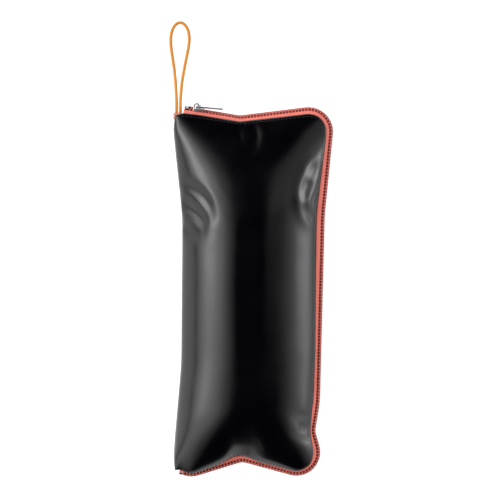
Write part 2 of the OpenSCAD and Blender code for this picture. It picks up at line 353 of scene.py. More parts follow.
def panel_sides():
    """The left, right, bottom and top lines of a panel, each as a smooth line of points."""
    ring = np.vstack([zip_side, spine_side[:1]])
    top_right = int(np.argmax(ring[:, 0] + ring[:, 1]))
    bottom_right = int(np.argmax(ring[:, 0] - ring[:, 1]))
    line = spline(np.vstack([spine_side[-1:], ring]))
    ahead, along = unit(np.gradient(line, axis=0)), distances(line)
    fade = ease(along / OVERHANG_FADE) * ease((along[-1] - along) / OVERHANG_FADE)
    line = line + np.stack([-ahead[:, 1], ahead[:, 0]], axis=1) * (OVERHANG * fade)[:, None]
    cut = [SPLINE_STEPS * (top_right + 1), SPLINE_STEPS * (bottom_right + 1)]
    return spline(spine_side), line[cut[0]:cut[1] + 1][::-1], line[cut[1]:][::-1], line[:cut[0] + 1]


def patch(left, right, bottom, top, across, length):
    """A grid of points between four lines, (length + 1) rows of (across + 1)."""
    left, right = resample(left, length + 1), resample(right, length + 1)
    bottom, top = resample(bottom, across + 1), resample(top, across + 1)
    u = np.linspace(0, 1, across + 1)[None, :, None]
    v = np.linspace(0, 1, length + 1)[:, None, None]
    sides = (1 - u) * left[:, None] + u * right[:, None] + (1 - v) * bottom[None] + v * top[None]
    corners = (
        (1 - u) * (1 - v) * bottom[0] + u * (1 - v) * bottom[-1]
        + (1 - u) * v * top[0] + u * v * top[-1]
    )
    return sides - corners


def arc(t):
    """Height of a panel's round cross-section, t from its ridge at 0 to its edge at 1."""
    low = math.sqrt(ARC_SHARE**2 - 1)
    return (np.sqrt(ARC_SHARE**2 - t**2) - low) / (ARC_SHARE - low)


def ease(t):
    t = np.clip(t, 0, 1)
    return t * (2 - t)


def filled_shape(across, spine, length, lines):
    """The filled sheet without its creases: front panel, spine, back panel, as rows of points."""
    flat = patch(*lines, across, length)
    u = np.linspace(-1, 1, across + 1)[None, :]
    v = np.linspace(0, 1, length + 1)[:, None]
    reach = distances(lines[0])[-1]
    ends = ease((1 - v) * reach / TOP_END) * ease(v * reach / BOTTOM_END)
    flat_ends = ease((1 - v) * reach / BACK_END) * ease(v * reach / BACK_END)
    top, bottom = FRONT_EDGE_Z + EDGE_LIFT, BACK_EDGE_Z - EDGE_LIFT
    front = np.dstack([flat, top + (CAP_Z - CROWN_UNDER - top) * arc(abs(u)) * ends])[:, ::-1]
    back = np.dstack([flat, bottom * (1 - ease((1 - abs(u)) * BACK_DROP) * flat_ends)])
    low = np.clip(v * reach / FOOT_BULGE_OVER, 0, 1)
    share = np.interp(front[:, :, 0] / MM, *zip(*FOOT_SHARES))
    front[..., 1] -= FOOT_BULGE * np.sin(np.pi * low) * (1 - low) * FOOT_PEAK * share
    t = np.linspace(0, 1, spine + 1)[1:-1]
    left = flat[:, :1]
    bulge = SPINE_BULGE * np.sin(np.pi * t)[None, :] * ease(v * SPINE_FADE) * ease((1 - v) * SPINE_FADE)
    height = np.broadcast_to(top + (bottom - top) * t, bulge.shape)
    turned = np.dstack([left[..., 0] - bulge, left[..., 1] + 0 * bulge, height])
    return np.concatenate([front, turned, back], axis=1)


def finer(points):
    """The same grid with every cell halved."""
    for axis in (0, 1):
        p = np.moveaxis(points, axis, 0)
        q = np.empty((2 * len(p) - 1, *p.shape[1:]))
        q[::2], q[1::2] = p, (p[:-1] + p[1:]) / 2
        points = np.moveaxis(q, 0, axis)
    return points


# The speed that the filling's push adds in a step, and the share of the speed that a step keeps.
PUSH, SPEED_KEPT = 0.7e-3 * MM, 0.97
# How many times as long the sheet is as the smooth shape, and how stiffly it resists squeezing.
SPARE = {"width": 1.002, "length": 1.008}
SQUEEZE = {"width": 0.4, "length": 0.4, "bias": 0.2}
# How strongly the spine's middle is drawn to where it belongs.
GUIDE_PULL = 0.05
# From the coarse grid to the finest: steps, passes over the links in each, and the resistance to
# bending.
LEVELS = [(120, 5, 0.25), (100, 5, 0.25), (30, 4, 0.3)]
# The filling doesn't push where a fold or a ridge is this deep.
NO_PUSH_DEPTH = 0.4 * MM
COVER_EVENING = 7


def links(rows, columns):
    """Slices of the pairs of points that hold each other, in groups that share no point."""
    groups = []
    for k in (0, 1):
        groups.append(("width", np.s_[:, k:columns - 1:2], np.s_[:, k + 1:columns:2]))
        groups.append(("length", np.s_[k:rows - 1:2, :], np.s_[k + 1:rows:2, :]))
        groups.append(("bias", np.s_[k:rows - 1:2, :-1], np.s_[k + 1:rows:2, 1:]))
        groups.append(("bias", np.s_[k:rows - 1:2, 1:], np.s_[k + 1:rows:2, :-1]))
    for k in range(4):
        groups.append(("bend width", np.s_[:, k:columns - 2:4], np.s_[:, k + 2:columns:4]))
        groups.append(("bend length", np.s_[k:rows - 2:4, :], np.s_[k + 2:rows:4, :]))
    return groups


def normals(x):
    du, dv = np.gradient(x, axis=1), np.gradient(x, axis=0)
    return unit(np.cross(dv, du))


def fill_cover(x, full, held, guide, push, steps, passes, bend):
    """Fills the pouch: pressure, shared out by push, against a sheet that hardly stretches.
    full gives the sheet its lengths, held says which points stay where they are, and guide is the
    spine's middle column and where it belongs."""
    rows, columns = x.shape[:2]
    free = np.where(held, 0.0, 1.0)
    groups = []
    for kind, a, b in links(rows, columns):
        x_a = x[a]
        n = min(x_a.shape[0], x[b].shape[0]), min(x_a.shape[1], x[b].shape[1])
        fa, fb = free[a][:n[0], :n[1]], free[b][:n[0], :n[1]]
        total = np.maximum(fa + fb, 1e-9)
        rest = np.linalg.norm(full[b][:n[0], :n[1]] - full[a][:n[0], :n[1]], axis=-1, keepdims=True)
        rest = rest * SPARE.get(kind, 1)
        groups.append((kind, a, b, n, (fa / total)[..., None], (fb / total)[..., None], rest))
    speed = np.zeros_like(x)
    for _ in range(steps):
        old = x.copy()
        speed += normals(x) * push[..., None] * PUSH
        x = x + speed * free[..., None]
        for _ in range(passes):
            for kind, a, b, n, wa, wb, rest in groups:
                pa, pb = x[a][:n[0], :n[1]], x[b][:n[0], :n[1]]
                d = pb - pa
                size = np.maximum(np.linalg.norm(d, axis=-1, keepdims=True), 1e-9)
                over = (size - rest) / size
                if kind in SQUEEZE:
                    over = np.where(over < 0, over * SQUEEZE[kind], over)
                else:
                    over = np.where(over < 0, over * bend, 0)
                move = d * over
                pa += move * wa
                pb -= move * wb
            x[..., 2] = np.clip(x[..., 2], 0, CAP_Z)
            x[:, guide[0], :2] += (guide[1] - x[:, guide[0], :2]) * GUIDE_PULL * free[:, guide[0], None]
        speed = (x - old) * SPEED_KEPT
    return x


def creased(x, across, spine):
    """The filled sheet with its folds pressed in, and how far each point is pressed."""
    deep = np.zeros(x.shape[:2])
    deep[:, :across + 1] = folds(x[:, :across + 1], FRONT_FOLDS)
    deep[:, across + spine:] = folds(x[:, across + spine:], BACK_FOLDS)
    rows, columns = deep.shape
    row, column = np.arange(rows), np.arange(columns)
    deep *= ease(np.minimum(row, row[::-1]) / rows * END_FADE)[:, None]
    deep *= ease(np.minimum(column, column[::-1]) / across * SIDE_FADE)[None, :]
    return x - normals(x) * deep[..., None], deep


def even_out(x, passes):
    """Draws each inner point of a grid half way to its neighbours' middle, passes times."""
    for _ in range(passes):
        around = x[2:, 1:-1] + x[:-2, 1:-1] + x[1:-1, 2:] + x[1:-1, :-2]
        x[1:-1, 1:-1] = (x[1:-1, 1:-1] * 4 + around) / 8


def make_cover():
    """The settled cover, its points, its grid's cells (one panel, spine, length) and its flat size."""
    lines = panel_sides()
    across, spine, along = COARSE
    x = filled_shape(across, spine, along, lines)
    for level, (steps, passes, bend) in enumerate(LEVELS):
        if level:
            x = finer(x)
            across, spine, along = 2 * across, 2 * spine, 2 * along
        full = filled_shape(across, spine, along, lines)
        held = np.zeros(x.shape[:2], bool)
        held[0], held[-1], held[:, 0], held[:, -1] = True, True, True, True
        x[held] = full[held]
        middle = across + spine // 2
        guide = (middle, full[:, middle, :2])
        full, deep = creased(full, across, spine)
        if level == len(LEVELS) - 1:
            x = creased(x, across, spine)[0]
        push = 1 - np.clip(abs(deep) / NO_PUSH_DEPTH, 0, 1)
        x = fill_cover(x, full, held, guide, push, steps, passes, bend)
    even_out(x, COVER_EVENING)
    rows, columns = x.shape[:2]
    u = np.linalg.norm(np.diff(full[rows // 2], axis=0), axis=1).mean() * np.arange(columns)
    v = np.linalg.norm(np.diff(full[:, 0], axis=0), axis=1).mean() * np.arange(rows)
    uvs = np.dstack(np.broadcast_arrays(u[None, :], v[:, None])).reshape(-1, 2)
    cover = new_object("cover_sheet", x.reshape(-1, 3), grid_faces(rows, columns, flip=True), uvs)
    print("cover flat", round(u[-1] / MM, 1), round(v[-1] / MM, 1))
    return cover, x, (across, spine, along), (u[-1], v[-1])


# The insert: how far inside the cover it lies, the passes that even it out, the rows and columns
# left off at its sides, the rows over which each end is pinched, the share of the thickness left
# there, and its grid's cell on the flat.
INSERT_GAP = 2.6 * MM
INSERT_EVENING = 12
INSERT_TRIM = 3
INSERT_PINCH, INSERT_LEFT = 8, 0.06
INSERT_CELL = 2 * MM


def make_insert(x):
    """The stuffed insert: the filled cover's own shape, a little smaller, pinched at both ends."""
    inner = x - normals(x) * INSERT_GAP
    even_out(inner, INSERT_EVENING)
    rings = inner[INSERT_TRIM:-INSERT_TRIM, INSERT_TRIM:-INSERT_TRIM].copy()
    rows, columns = rings.shape[:2]
    away = np.minimum(np.arange(rows), np.arange(rows)[::-1]) / INSERT_PINCH
    plump = INSERT_LEFT + (1 - INSERT_LEFT) * np.sqrt(ease(away))
    rings[..., 2] = SEAM_Z + (rings[..., 2] - SEAM_Z) * plump[:, None]
    points = rings.reshape(-1, 3)
    faces = list(grid_faces(rows, columns, closed=True, flip=True))
    half = columns // 2
    for row, turned in ((0, True), (rows - 1, False)):
        for k in range(half - 1):
            quad = [row * columns + i for i in (k, k + 1, columns - 2 - k, columns - 1 - k)]
            faces.append(quad[::-1] if turned else quad)
    u = np.arange(columns) * INSERT_CELL
    v = np.arange(rows) * INSERT_CELL
    uvs = np.dstack(np.broadcast_arrays(u[None, :], v[:, None])).reshape(-1, 2)
    return new_object("insert_pillow", points, faces, uvs)


# ---------------------------------------------------------------- zip, loop and their shapes


def oval(half_x, half_y, count, square=1.0):
    """Points round an oval, or a rounded box where square is below 1."""
    a = 2 * math.pi * np.arange(count) / count
    c, s = np.cos(a), np.sin(a)
    return np.stack([half_x * np.sign(c) * abs(c)**square, half_y * np.sign(s) * abs(s)**square], axis=1)


def loft(rings):
    """Points and faces through rings of the same number of points, with a fan over each end."""
    rings = np.asarray(rings)
    rows, columns = rings.shape[:2]
    points = rings.reshape(-1, 3)
    faces = [list(f) for f in grid_faces(rows, columns, closed=True)]
    points = np.vstack([points, rings[0].mean(axis=0), rings[-1].mean(axis=0)])
    for k in range(columns):
        n = (k + 1) % columns
        faces.append([n, k, len(points) - 2])
        faces.append([(rows - 1) * columns + k, (rows - 1) * columns + n, len(points) - 1])
    return points, faces


def gather(shapes):
    """Several (points, faces) as one."""
    points, faces, first = [], [], 0
    for p, f in shapes:
        points.append(p)
        faces += [[i + first for i in face] for face in f]
        first += len(p)
    return np.vstack(points), faces


def turning_frames(line):
    """Directions ahead, aside and up along a line, turning as little as they can."""
    ahead = unit(np.gradient(line, axis=0))
    aside = np.cross(ahead, [0, 0, 1])
    bad = np.linalg.norm(aside, axis=1) < 0.05
    aside[bad] = [1, 0, 0]
    aside = unit(aside)
    for k in range(1, len(line)):
        a = aside[k - 1] - ahead[k] * (aside[k - 1] @ ahead[k])
        aside[k] = a / np.linalg.norm(a)
    return ahead, aside, np.cross(aside, ahead)


# A tooth's rings from its head's tip to the end of its legs: distance from the zip's centre line
# towards its own tape, and half sizes along the zip and out of its face. All in mm.
TOOTH = [
    (-0.75, 0.14, 0.5), (-0.66, 0.28, 0.85), (-0.35, 0.4, 1.0), (0.05, 0.36, 1.02), (0.4, 0.28, 1.02),
    (0.75, 0.36, 1.16), (1.0, 0.4, 1.2), (1.75, 0.4, 1.2), (2.02, 0.35, 1.12), (2.1, 0.26, 0.9)
]
TOOTH_MID = 0.675 * MM
# Points round a tooth and round a tape's thick edge, and how square a tooth is.
ROUND_POINTS, TOOTH_SQUARE = 12, 0.55
# A tape's thick edge: its distance from the zip's centre line, and its half sizes.
CORD_AT, CORD_HALF = 1.4 * MM, (1.1 * MM, 0.5 * MM)
# A tape: thickness, where it starts from the centre line, its gap to the panel over it, and how
# far it goes in under the panel.
TAPE_T = 0.5 * MM
TAPE_FROM, TAPE_GAP, TAPE_UNDER = 1.3 * MM, 0.05 * MM, 1.6 * MM
# The stretch of the zip that the slider moves in. Past it, teeth and thick edges get deeper out of
# the zip's face, by these factors over this length, and the tape draws back.
TRAVEL = 33 * MM
DEEPER_TEETH, DEEPER_CORD, DEEPER_OVER = 1.3, 1.15, 4 * MM
TAPE_BACK, TAPE_BACK_OVER = 0.5 * MM, 8 * MM
# How far each tape runs straight out from the centre line, while the slider travels and after.
STRAIGHT = {1: (4.3 * MM, 3.2 * MM), -1: (5 * MM, 3.6 * MM)}


def past_travel(s, over, values):
    """The first value in the slider's stretch, the second one past it, with a slope of length over."""
    return np.interp(s, [TRAVEL, TRAVEL + over], values)


def tooth_ring(reach, half_along, half_out):
    flat = oval(half_along * MM, half_out * MM, ROUND_POINTS, TOOTH_SQUARE)
    return np.column_stack([flat, np.full(ROUND_POINTS, reach * MM - TOOTH_MID)])


def teeth(name, row, first, side):
    """A row of teeth, each in its CAD tooth's place."""
    s = first + PITCH * np.arange(len(row))
    _, along, out, across, _ = zip_frame(s)
    shape, faces = loft([tooth_ring(*sizes) for sizes in TOOTH])
    deep = past_travel(s, DEEPER_OVER, [1, DEEPER_TEETH])[:, None]
    axes = np.stack([along, out * deep, side * across], axis=1)
    points = row[:, None, :] + np.einsum("pk,tkd->tpd", shape, axes)
    if np.linalg.det(axes[0]) < 0:
        faces = [f[::-1] for f in faces]
    made = [[i + k * len(shape) for i in f] for k in range(len(row)) for f in faces]
    return new_object(name, points.reshape(-1, 3), made)


def zip_cord(name, side):
    """The thick edge of a tape, which the teeth are moulded on. It is dressed near black as painted shade
    for the gaps between the teeth.
    """
    s = np.arange(0.6 * MM, ZIP_LEN, 0.8 * MM)
    middle, _, out, across, half = zip_frame(s)
    centre = middle + across * side * (CORD_AT + half - TOOTH_MID)[:, None]
    ring = oval(*CORD_HALF, ROUND_POINTS)
    wide = out * past_travel(s, DEEPER_OVER, [1, DEEPER_CORD])[:, None]
    rings = centre[:, None] + ring[None, :, :1] * wide[:, None] + ring[None, :, 1:] * across[:, None]
    return new_object(name, *loft(rings[:, ::-1]))


def panel_edge_at(s):
    """The panels' edge beside the zip at distances s along it, and the way inwards from there."""
    line = spline(zip_side)
    at = np.clip(np.asarray(s) / ZIP_LEN, 0, 1) * (len(line) - 1)
    p = np.stack([np.interp(at, np.arange(len(line)), line[:, k]) for k in (0, 1)], axis=1)
    d = unit(np.gradient(p, axis=0))
    return p, np.stack([d[:, 1], -d[:, 0]], axis=1)


def tape(name, side):
    """A woven tape: out of the teeth, round, and in under the panel's edge."""
    s = np.linspace(0, ZIP_LEN, 420)
    middle, _, out, across, half = zip_frame(s)
    inner = (half - TOOTH_MID) + TAPE_FROM
    reach = past_travel(s, TAPE_BACK_OVER, STRAIGHT[side])
    edge_z = FRONT_EDGE_Z if side > 0 else BACK_EDGE_Z
    under, inwards = panel_edge_at(s)
    level = edge_z - side * (TAPE_GAP + TAPE_T / 2)
    at_edge = np.column_stack([under, np.full(len(s), level)])
    beyond = at_edge + np.column_stack([inwards * TAPE_UNDER, np.zeros(len(s))])
    back = out * past_travel(s, TAPE_BACK_OVER, [0, TAPE_BACK])[:, None]
    start = middle + across * side * inner[:, None]
    bend = middle + across * side * reach[:, None] - back
    line = np.stack([start, bend, at_edge, beyond], axis=1)
    for _ in range(3):
        cut = np.empty((len(s), 2 * line.shape[1], 3))
        cut[:, 0], cut[:, -1] = line[:, 0], line[:, -1]
        cut[:, 1:-1:2] = line[:, :-1] * 0.75 + line[:, 1:] * 0.25
        cut[:, 2:-1:2] = line[:, :-1] * 0.25 + line[:, 1:] * 0.75
        line = cut
    rows, columns = line.shape[:2]
    over = np.linalg.norm(np.diff(line[rows // 2], axis=0), axis=1).cumsum()
    uvs = np.dstack(np.broadcast_arrays(np.r_[0, over][None, :], s[:, None])).reshape(-1, 2)
    return new_object(name, line.reshape(-1, 3), grid_faces(rows, columns, flip=side > 0), uvs)


# Route of the elastic loop's centre line, as in part.scad, in mm.
LOOP_ROUTE = [
    (-47.8, 111.8, 18.5), (-47.8, 115, 17.9), (-47.8, 119, 16), (-48, 123, 13.4), (-48.2, 127, 10.4),
    (-48.5, 131, 7.4), (-48.9, 135, 4.8), (-49.3, 139, 2.8), (-49.9, 143, 1.6), (-50.6, 147.5, 1),
    (-51.2, 152, 1), (-51.5, 156.5, 1), (-51.2, 161, 1), (-49.6, 165.5, 1), (-46.8, 168, 1),
    (-43.6, 167.5, 1), (-41, 164, 1), (-40, 159, 1), (-40.3, 154, 1), (-41.2, 149, 1.3), (-42.2, 144, 2),
    (-43.1, 139, 3.4), (-43.8, 135, 5.2), (-44.4, 131, 7.6), (-44.8, 127, 10.4), (-45.1, 123, 13.4),
    (-45.3, 119, 16), (-45.4, 115, 17.9), (-45.4, 111.8, 18.5)
]
LOOP_D = 2 * MM
LOOP_STEP, LOOP_POINTS = 0.2 * MM, 16
# The braid's pattern repeats over this length of the cord, and this many times round it.
BRAID_LENGTH, BRAID_REPEATS = 2.6 * MM, 4


def elastic_loop():
    """Braided elastic: a tube whose surface rises over each crossing strand. Also gives the cord's
    path and its length."""
    route = spline(np.array(LOOP_ROUTE) * MM)
    length = distances(route)[-1]
    count = int(length / LOOP_STEP)
    line = resample(route, count)
    _, aside, up = turning_frames(line)
    around = 2 * math.pi * np.arange(LOOP_POINTS) / LOOP_POINTS
    s = np.linspace(0, length, count)[:, None]
    lay = 2 * math.pi * s / BRAID_LENGTH
    turned = BRAID_REPEATS * around[None]
    rise = np.maximum(np.sin(turned + lay), np.sin(turned - lay))
    radius = LOOP_D / 2 * (0.97 + 0.04 * rise)
    c, k = np.cos(around)[None, :, None], np.sin(around)[None, :, None]
    rings = line[:, None] + (c * aside[:, None] + k * up[:, None]) * radius[..., None]
    points, faces = loft(rings)
    uv = np.dstack(np.broadcast_arrays(around[None] / (2 * math.pi), s)).reshape(-1, 2)
    uv = np.vstack([uv, uv[:1], uv[-1:]])
    path = line[::4]
    if (count - 1) % 4:
        path = np.vstack([path, line[-1:]])
    return new_object("elastic_loop", points, [f[::-1] for f in faces], uv), path, length


def folded_end(node):
    """The folded tape end in the corner, pressed in by the stitches across it."""
    lo, hi = (np.array(c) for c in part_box(node))
    centre, half = (lo + hi) / 2, (hi - lo) / 2
    rings = []
    for t in np.linspace(-1, 1, 29):
        end = max(0.0, 1 - abs(t)**8)**0.5
        dip = 1 - 0.12 * (0.5 + 0.5 * math.cos(2 * math.pi * t * 3.6)) * (abs(t) < 0.9)
        ring = oval(half[1] * (0.8 + 0.2 * end), half[2] * (0.72 + 0.22 * end) * dip, 20, 0.5)
        x = np.full(len(ring), centre[0] + half[0] * t)
        rings.append(np.column_stack([x, centre[1] + ring[:, 0], centre[2] + ring[:, 1]]))
    return new_object("loop_end_fold", *loft(rings))


def stitch(a, b, up, radius):
    """One stitch of thread from a to b, which dips into the cloth at both ends."""
    t = np.linspace(0, 1, 7)
    lift = radius * (1.2 * np.sin(math.pi * t) - 0.6)
    line = a + (b - a) * t[:, None] + up * lift[:, None]
    thin = radius * np.array([0.5, 0.85, 1, 1, 1, 0.85, 0.5])
    ahead = unit((b - a)[None])[0]
    aside = np.cross(ahead, up)
    ring = oval(1, 1, 6)
    rings = line[:, None] + (ring[None, :, :1] * aside + ring[None, :, 1:] * up) * thin[:, None, None]
    return loft(rings)


def bar_tack(node):
    """Close zigzag stitches through the folded end."""
    lo, hi = (np.array(c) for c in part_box(node))
    made, count = [], 15
    for k in range(count):
        x = lo[0] + (hi[0] - lo[0]) * (k + 0.5) / count
        lean = 0.12 * MM * (-1)**k
        a = np.array([x - lean, lo[1] - 0.2 * MM, lo[2] - 0.1 * MM])
        b = np.array([x + lean, hi[1] + 0.2 * MM, lo[2] - 0.1 * MM])
        made.append(stitch(a, b, np.array([0, 0, 1.0]), 0.17 * MM))
    return new_object("bar_tack_stitches", *gather(made))


# A seam's stitches: from one to the next, from the line's end to the first, length and radius.
STITCH_STEP, STITCH_START = 2.6 * MM, 0.3 * MM
STITCH_LENGTH, STITCH_RADIUS = 1.9 * MM, 0.16 * MM


def seam(name, line, up):
    """A row of stitches along a line that lies on the cloth, with up its normals."""
    s = distances(line)
    made = []
    for k in range(int(s[-1] / STITCH_STEP)):
        start = k * STITCH_STEP + STITCH_START
        at = [start, start + STITCH_LENGTH]
        a, b = (np.array([np.interp(v, s, line[:, d]) for d in range(3)]) for v in at)
        n = unit(np.array([np.interp(at[0], s, up[:, d]) for d in range(3)])[None])[0]
        made.append(stitch(a, b, n, STITCH_RADIUS))
    return new_object(name, *gather(made))


# ---------------------------------------------------------------- materials


def map_range(tree, value, low, high, out_low, out_high):
    """value taken from the range low to high onto out_low to out_high, and held at its ends."""
    node = tree.nodes.new("ShaderNodeMapRange")
    for socket, number in zip(list(node.inputs)[1:5], (low, high, out_low, out_high)):
        socket.default_value = number
    tree.links.new(value, node.inputs[0])
    return node.outputs[0]


class Nodes:
    """A short way to write a material's nodes."""

    def __init__(self, name, color, rough, **sockets):
        self.material = bpy.data.materials.new(name)
        self.material.use_nodes = True
        self.tree = self.material.node_tree
        self.shader = self.tree.nodes["Principled BSDF"]
        self.shader.inputs["Base Color"].default_value = (*color, 1)
        self.shader.inputs["Roughness"].default_value = rough
        self.color = color
        for key, value in sockets.items():
            self.shader.inputs[key.replace("_", " ")].default_value = value

    def add(self, kind, **values):
        node = self.tree.nodes.new("ShaderNode" + kind)
        for key, value in values.items():
            if hasattr(node, key):
                setattr(node, key, value)
            else:
                node.inputs[key.replace("_", " ")].default_value = value
        return node

    def link(self, a, b):
        self.tree.links.new(a, b)

    def place(self, flat=False, scale=(1, 1, 1)):
        """Object coordinates, or the sheet's own flat ones, stretched by scale."""
        where = self.add("TexCoord")
        mapping = self.add("Mapping")
        mapping.inputs["Scale"].default_value = scale
        self.link(where.outputs["UV" if flat else "Object"], mapping.inputs["Vector"])
        return mapping.outputs["Vector"]

    def waves(self, vector, direction, scale):
        node = self.add("TexWave", wave_type="BANDS", bands_direction=direction, Scale=scale, Distortion=0)
        self.link(vector, node.inputs["Vector"])
        return node.outputs["Fac"]

    def noise(self, vector, scale):
        node = self.add("TexNoise", Scale=scale, Detail=3)
        self.link(vector, node.inputs["Vector"])
        return node.outputs["Fac"]

    def math(self, operation, a, b):
        node = self.add("Math", operation=operation)
        for socket, value in zip(node.inputs, (a, b)):
            if isinstance(value, (int, float)):
                socket.default_value = value
            else:
                self.link(value, socket)
        return node.outputs[0]

    def tint(self, fac, low, high):
        """Base colour between two shades of the material's own."""
        ramp = self.add("ValToRGB")
        ramp.color_ramp.elements[0].color = (*(c * low for c in self.color), 1)
        ramp.color_ramp.elements[1].color = (*(min(1, c * high) for c in self.color), 1)
        self.link(fac, ramp.inputs["Fac"])
        self.link(ramp.outputs["Color"], self.shader.inputs["Base Color"])

    def roughness(self, fac, low, high):
        self.link(map_range(self.tree, fac, 0.3, 0.7, low, high), self.shader.inputs["Roughness"])

    def bump(self, fac, depth, strength=1.0):
        node = self.add("Bump", Strength=strength, Distance=depth)
        self.link(fac, node.inputs["Height"])
        if self.shader.inputs["Normal"].links:
            self.link(self.shader.inputs["Normal"].links[0].from_socket, node.inputs["Normal"])
        self.link(node.outputs["Normal"], self.shader.inputs["Normal"])


def coated_fabric():
    m = Nodes("coated_fabric", (0.0008, 0.0008, 0.0016), 0.2, IOR=1.5)
    flat = m.place(flat=True)
    weave = m.math("MULTIPLY", m.waves(flat, "X", 520), m.waves(flat, "Y", 520))
    m.bump(weave, 0.02 * MM, 0.25)
    cloud = m.noise(m.place(), 60)
    m.roughness(cloud, 0.19, 0.25)
    m.bump(m.noise(m.place(), 900), 0.01 * MM, 0.4)
    m.tint(cloud, 0.7, 1.5)
    return m.material


def zip_tape():
    m = Nodes("zip_tape", (0.94, 0.22, 0.165), 0.75)
    flat = m.place(flat=True)
    ribs = m.waves(flat, "X", 330)
    herring = m.waves(flat, "DIAGONAL", 380)
    m.bump(m.math("ADD", m.math("MULTIPLY", ribs, 0.7), m.math("MULTIPLY", herring, 0.5)), 0.08 * MM, 0.6)
    m.tint(m.noise(m.place(), 180), 0.88, 1.1)
    m.shader.inputs["Sheen Weight"].default_value = 0.25
    m.shader.inputs["Sheen Roughness"].default_value = 0.4
    return m.material


def moulded(name, color, rough):
    """Satin moulded plastic with faint flow marks."""
    m = Nodes(name, color, rough, IOR=1.49)
    cloud = m.noise(m.place(), 700)
    m.bump(cloud, 0.02 * MM, 0.4)
    m.tint(m.noise(m.place(), 220), 0.9, 1.08)
    m.roughness(cloud, rough - 0.08, rough + 0.1)
    return m.material


def plated():
    m = Nodes("plated_metal", (0.86, 0.86, 0.87), 0.34, Metallic=1.0)
    fine = m.noise(m.place(scale=(1, 6, 1)), 900)
    m.bump(fine, 0.02 * MM, 0.5)
    m.roughness(m.noise(m.place(), 350), 0.26, 0.42)
    m.tint(m.noise(m.place(), 150), 0.92, 1.05)
    return m.material


def braided(name, color):
    m = Nodes(name, color, 0.6)
    where = m.place(flat=True, scale=(BRAID_REPEATS, 1 / BRAID_LENGTH, 1))
    one = m.waves(where, "DIAGONAL", 0.45)
    m.bump(one, 0.05 * MM, 0.6)
    m.bump(m.noise(m.place(), 1500), 0.04 * MM, 0.5)
    m.tint(m.noise(m.place(), 700), 0.8, 1.15)
    m.shader.inputs["Sheen Weight"].default_value = 0.3
    return m.material


def thread(name, color):
    m = Nodes(name, color, 0.55)
    m.bump(m.waves(m.place(), "DIAGONAL", 900), 0.04 * MM, 0.6)
    m.tint(m.noise(m.place(), 500), 0.85, 1.1)
    m.shader.inputs["Sheen Weight"].default_value = 0.2
    return m.material


def insert_fabric():
    m = Nodes("insert_fabric", (0.72, 0.7, 0.65), 0.85)
    flat = m.place(flat=True)
    m.bump(m.math("MULTIPLY", m.waves(flat, "X", 420), m.waves(flat, "Y", 420)), 0.1 * MM, 0.6)
    m.bump(m.noise(m.place(), 120), 0.4 * MM, 0.4)
    m.tint(m.noise(m.place(), 50), 0.9, 1.08)
    m.shader.inputs["Sheen Weight"].default_value = 0.2
    return m.material


FABRIC = coated_fabric()

# ---------------------------------------------------------------- pieces

cover, cover_points, cover_grid, cover_flat = make_cover()
cover.data.materials.append(FABRIC)
thickened(cover, SHEET_T)
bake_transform(cover)
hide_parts("front_panel", "back_panel", "spine_fold")

insert = make_insert(cover_points[::2, ::2])
insert.data.materials.append(insert_fabric())
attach(insert, "pouch")
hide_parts("insert_core", "insert_sleeve")


def finish_piece(obj, material, body, slot, *nodes):
    """Dresses a piece, hangs it on its body and hides the CAD nodes it stands for."""
    obj.data.materials.append(material)
    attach(obj, body)
    if nodes:
        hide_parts(*nodes)
    return obj


TAPE, TEETH = zip_tape(), moulded("zip_teeth", (0.92, 0.2, 0.15), 0.35)
# The tapes' thick edges are really coral like their tapes; this near-black maroon is painted shade that
# darkens the gaps between the teeth.
PAINTED_SHADE_CORD = moulded("zip_cord_painted_shade", (0.05, 0.004, 0.004), 0.7)
NICKEL = plated()
for side, body, label, row, first in (
    (1, "cover", "front", front_row, FIRST_TOOTH),
    (-1, "pouch", "back", back_row, FIRST_TOOTH + PITCH / 2)
):
    nodes = [f"{label}_zip_tape"] + (["front_tape_start"] if side > 0 else [])
    woven = tape(f"{label}_woven_tape", side)
    woven.data.materials.append(TAPE)
    thickened(woven, TAPE_T, offset=0)
    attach(woven, body)
    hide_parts(*nodes)
    finish_piece(teeth(f"{label}_moulded_teeth", row, first, side), TEETH, body, "zip_teeth",
                 f"{label}_zip_teeth", f"{label}_teeth_start")
    finish_piece(zip_cord(f"{label}_tape_cord_painted_shade", side), PAINTED_SHADE_CORD, body, "zip_tape")

loop, loop_path, loop_length = elastic_loop()
finish_piece(loop, braided("elastic_cord", (0.7, 0.26, 0.02)), "pouch", "elastic_cord", "carry_loop")
print("loop length", round(loop_length / MM, 2))
finish_piece(folded_end("loop_anchor"), TAPE, "pouch", "zip_tape", "loop_anchor")
finish_piece(bar_tack("loop_bar_tack"), thread("thread", (0.95, 0.62, 0.52)), "pouch", "thread",
             "loop_bar_tack")

# Black stitches just inside the panels' edges, this many cells of the cover's grid in from each.
SEAM_IN = 2
BLACK_THREAD = thread("black_thread", (0.01, 0.01, 0.012))
facing = normals(cover_points)
panel = cover_grid[0]
for label, body, near, far in (
    ("front", "cover", SEAM_IN, panel),
    ("back", "pouch", -1 - SEAM_IN, -1 - panel)
):
    lines, ups = [], []
    inwards = np.arange(near, far, 1 if near > 0 else -1)
    for grid, kept in ((cover_points, lines), (facing, ups)):
        top, foot = grid[-1 - SEAM_IN, inwards], grid[SEAM_IN, inwards]
        side_line = grid[SEAM_IN:-SEAM_IN, near]
        kept.append(np.vstack([top[::-1], side_line[::-1][1:], foot[1:]]))
    finish_piece(seam(f"{label}_edge_stitches", lines[0], ups[0]), BLACK_THREAD, body, "thread")

